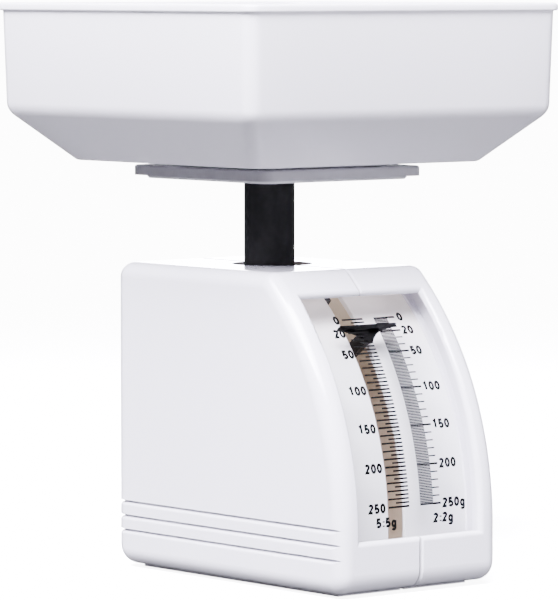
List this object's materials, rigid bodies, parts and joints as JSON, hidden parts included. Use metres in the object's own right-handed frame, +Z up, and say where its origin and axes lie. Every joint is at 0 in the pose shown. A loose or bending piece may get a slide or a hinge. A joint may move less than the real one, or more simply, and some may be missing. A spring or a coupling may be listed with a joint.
{
  "type": "kitchen scale",
  "caption": "Slim upright spring kitchen scale with a lift-off square weighing pan on a black post and a curved front dial window with a sliding pointer.",
  "frame": {"origin": "bottom centre of the whole scale's box, on the floor plane", "axes": "+Z up, -Y towards the dial side, X across the housing"},
  "size_m": [0.123, 0.128, 0.1733],
  "materials": {
    "body_white": "gloss moulded polystyrene",
    "pan_white": "satin moulded plastic",
    "window_clear": "clear moulded plastic with printed graduations",
    "dial_white": "matt moulded plastic",
    "pointer_black": "matt black plastic",
    "lever_black": "moulded acetal",
    "post_black": "satin black tube",
    "carrier_grey": "satin moulded plastic",
    "platform_grey": "satin moulded plastic",
    "wheel_grey": "satin moulded plastic",
    "steel": "zinc-plated steel",
    "spring_steel": "drawn spring wire",
    "foot_rubber": "soft rubber"
  },
  "bodies": {
    "housing": {"left_housing": "body_white", "right_housing": "body_white", "window": "window_clear", "dial_plate": "dial_white", "lever_axle": "steel", "guide_axle": "steel", "balance_spring": "spring_steel", "housing_screws": "steel", "rubber_feet": "foot_rubber", "overload_pad": "foot_rubber", "stop_pad": "foot_rubber"},
    "lever": {"main_lever": "lever_black", "pointer": "pointer_black", "spring_anchor_pin": "steel"},
    "link": {"guide_link": "lever_black"},
    "platform": {"post_tube": "post_black", "post_bracket": "lever_black", "tube_roll_pin": "steel", "lever_pin": "steel", "guide_pin": "steel", "pin_clips": "steel", "platform_carrier": "carrier_grey", "platform_plate": "platform_grey", "platform_screw": "steel"},
    "hanger": {"spring_hanger": "steel"},
    "zero_dial": {"zero_wheel": "wheel_grey"},
    "pan": {"pan": "pan_white"}
  },
  "joints": [
    {"name": "lever_hinge", "type": "hinge", "parent": "housing", "child": "lever", "pos_m": [0, 0.0369, 0.0185], "axis": [1, 0, 0], "range_deg": [-1.5, 35], "stiffness_Nm_per_rad": 0.13, "springref_deg": -17.19, "deforming": ["balance_spring"]},
    {"name": "link_hinge", "type": "hinge", "parent": "housing", "child": "link", "pos_m": [0, 0.0369, 0.0585], "axis": [1, 0, 0], "range_deg": [-1.5, 35]},
    {"name": "platform_hinge", "type": "hinge", "parent": "lever", "child": "platform", "pos_m": [0, 0.006, 0.02759], "axis": [1, 0, 0], "range_deg": [-35, 1.5]},
    {"name": "hanger_slide", "type": "slide", "parent": "housing", "child": "hanger", "axis": [0, 0, 1], "range_m": [-0.0008, 0.0008]},
    {"name": "zero_wheel_turn", "type": "hinge", "parent": "housing", "child": "zero_dial", "pos_m": [0, 0.03, 0.079], "axis": [0, 0, 1], "range_deg": [-360, 360]},
    {"name": "pan_lift", "type": "slide", "parent": "platform", "child": "pan", "axis": [0, 0, 1], "range_m": [0, 0.06]}
  ],
  "couplings": [
    {"joint": "link_hinge", "follows": "lever_hinge", "ratio": 1},
    {"joint": "platform_hinge", "follows": "lever_hinge", "ratio": -1},
    {"joint": "hanger_slide", "follows": "zero_wheel_turn", "m_per_rad": 0.00012732}
  ]
}
